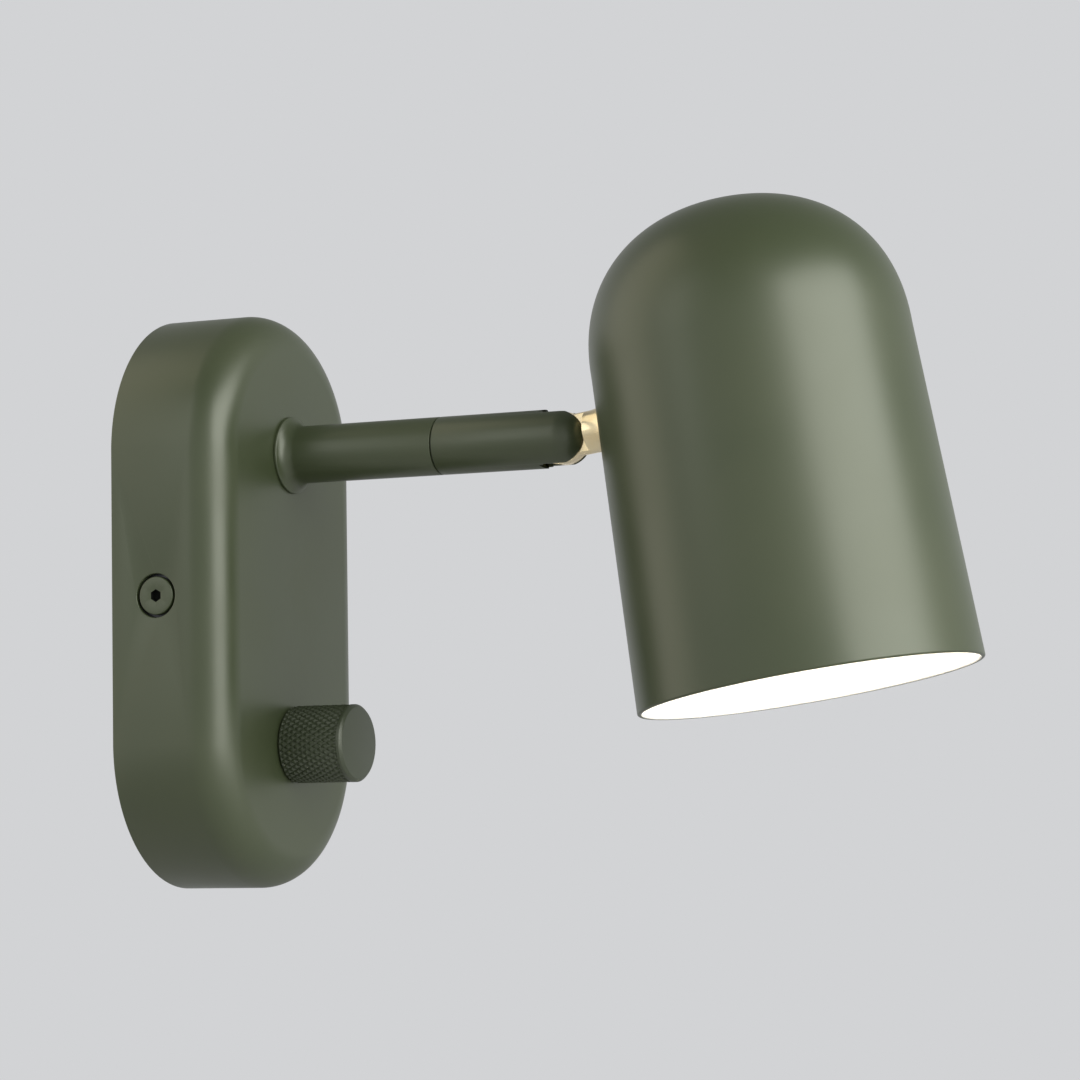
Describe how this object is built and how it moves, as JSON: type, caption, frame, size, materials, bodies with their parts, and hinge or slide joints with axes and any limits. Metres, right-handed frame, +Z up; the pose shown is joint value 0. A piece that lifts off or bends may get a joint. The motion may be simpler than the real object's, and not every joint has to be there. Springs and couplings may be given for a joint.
{
  "type": "bedside wall reading lamp",
  "caption": "Wall reading lamp with an obround cover, knurled dimmer knob, swivelling arm and a tilting bell shade on a brass knuckle.",
  "frame": {"origin": "middle of the wall face, between the wall screw holes", "axes": "+Z up, -Y out from the wall along the arm, +X to the right seen from the front"},
  "size_m": [0.092, 0.2333, 0.1814],
  "materials": {
    "cover_paint": "matte olive green powder paint",
    "arm_paint": "matte olive green powder paint",
    "shade_paint": "matte olive green outside, white inside",
    "knob_paint": "matte olive green, fine diamond knurl",
    "polished_brass": "turned and polished",
    "plain_brass": "turned",
    "zinc_steel": "bright zinc plate",
    "dark_steel": "blackened",
    "black_rubber": "soft",
    "white_plastic": "moulded",
    "black_plastic": "moulded",
    "green_board": "lacquered circuit board",
    "copper_parts": "lacquered wire and leads",
    "earth_sleeve": "green and yellow",
    "brown_sleeve": "brown",
    "blue_sleeve": "blue",
    "opal_glass": "opal, lit"
  },
  "bodies": {
    "wall_body": {"mounting_plate": "zinc_steel", "entry_grommet": "black_rubber", "cover": "cover_paint", "cover_screws": "cover_paint", "terminal_block": "white_plastic", "terminal_sleeves": "plain_brass", "terminal_screws": "zinc_steel", "block_screws": "zinc_steel", "earth_tag": "plain_brass", "earth_screw": "plain_brass", "earth_leads": "earth_sleeve", "live_lead": "brown_sleeve", "dimmed_lead": "brown_sleeve", "neutral_lead": "blue_sleeve", "arm_foot": "arm_paint", "arm_nipple": "zinc_steel", "arm_washer": "zinc_steel", "arm_nut": "zinc_steel", "swivel_spindle": "plain_brass", "arm_cable": "white_plastic", "dimmer_case": "black_plastic", "dimmer_lid": "black_plastic", "dimmer_board": "green_board", "dimmer_components": "copper_parts", "dimmer_control": "zinc_steel", "dimmer_washer": "zinc_steel", "dimmer_nut": "zinc_steel"},
    "knob_body": {"dimmer_shaft": "zinc_steel", "knob": "knob_paint", "knob_grub_screw": "dark_steel"},
    "arm_tip_body": {"arm_tip": "arm_paint", "swivel_washer": "black_plastic", "swivel_grub_screw": "dark_steel", "tilt_screw": "dark_steel", "tilt_washers": "black_plastic"},
    "head": {"tongue": "polished_brass", "tongue_nut": "plain_brass", "shade": "shade_paint", "holder_bracket": "zinc_steel", "holder_nipple": "zinc_steel", "holder_nut": "zinc_steel", "holder_cap": "black_plastic", "holder_body": "black_plastic", "holder_shell": "plain_brass", "holder_contact": "copper_parts", "lamp_base": "zinc_steel", "lamp_neck": "white_plastic", "lamp_globe": "opal_glass", "head_cable": "white_plastic"}
  },
  "joints": [
    {"name": "arm_swivel", "type": "hinge", "parent": "wall_body", "child": "arm_tip_body", "pos_m": [0, -0.0815, 0.0404], "axis": [0, 1, 0], "range_deg": [-160, 160]},
    {"name": "head_tilt", "type": "hinge", "parent": "arm_tip_body", "child": "head", "pos_m": [0, -0.1178, 0.0404], "axis": [1, 0, 0], "range_deg": [-72.52, 87.48]},
    {"name": "dimmer_turn", "type": "hinge", "parent": "wall_body", "child": "knob_body", "pos_m": [0, -0.0447, -0.0404], "axis": [0, 1, 0], "range_deg": [-270, 0]}
  ]
}
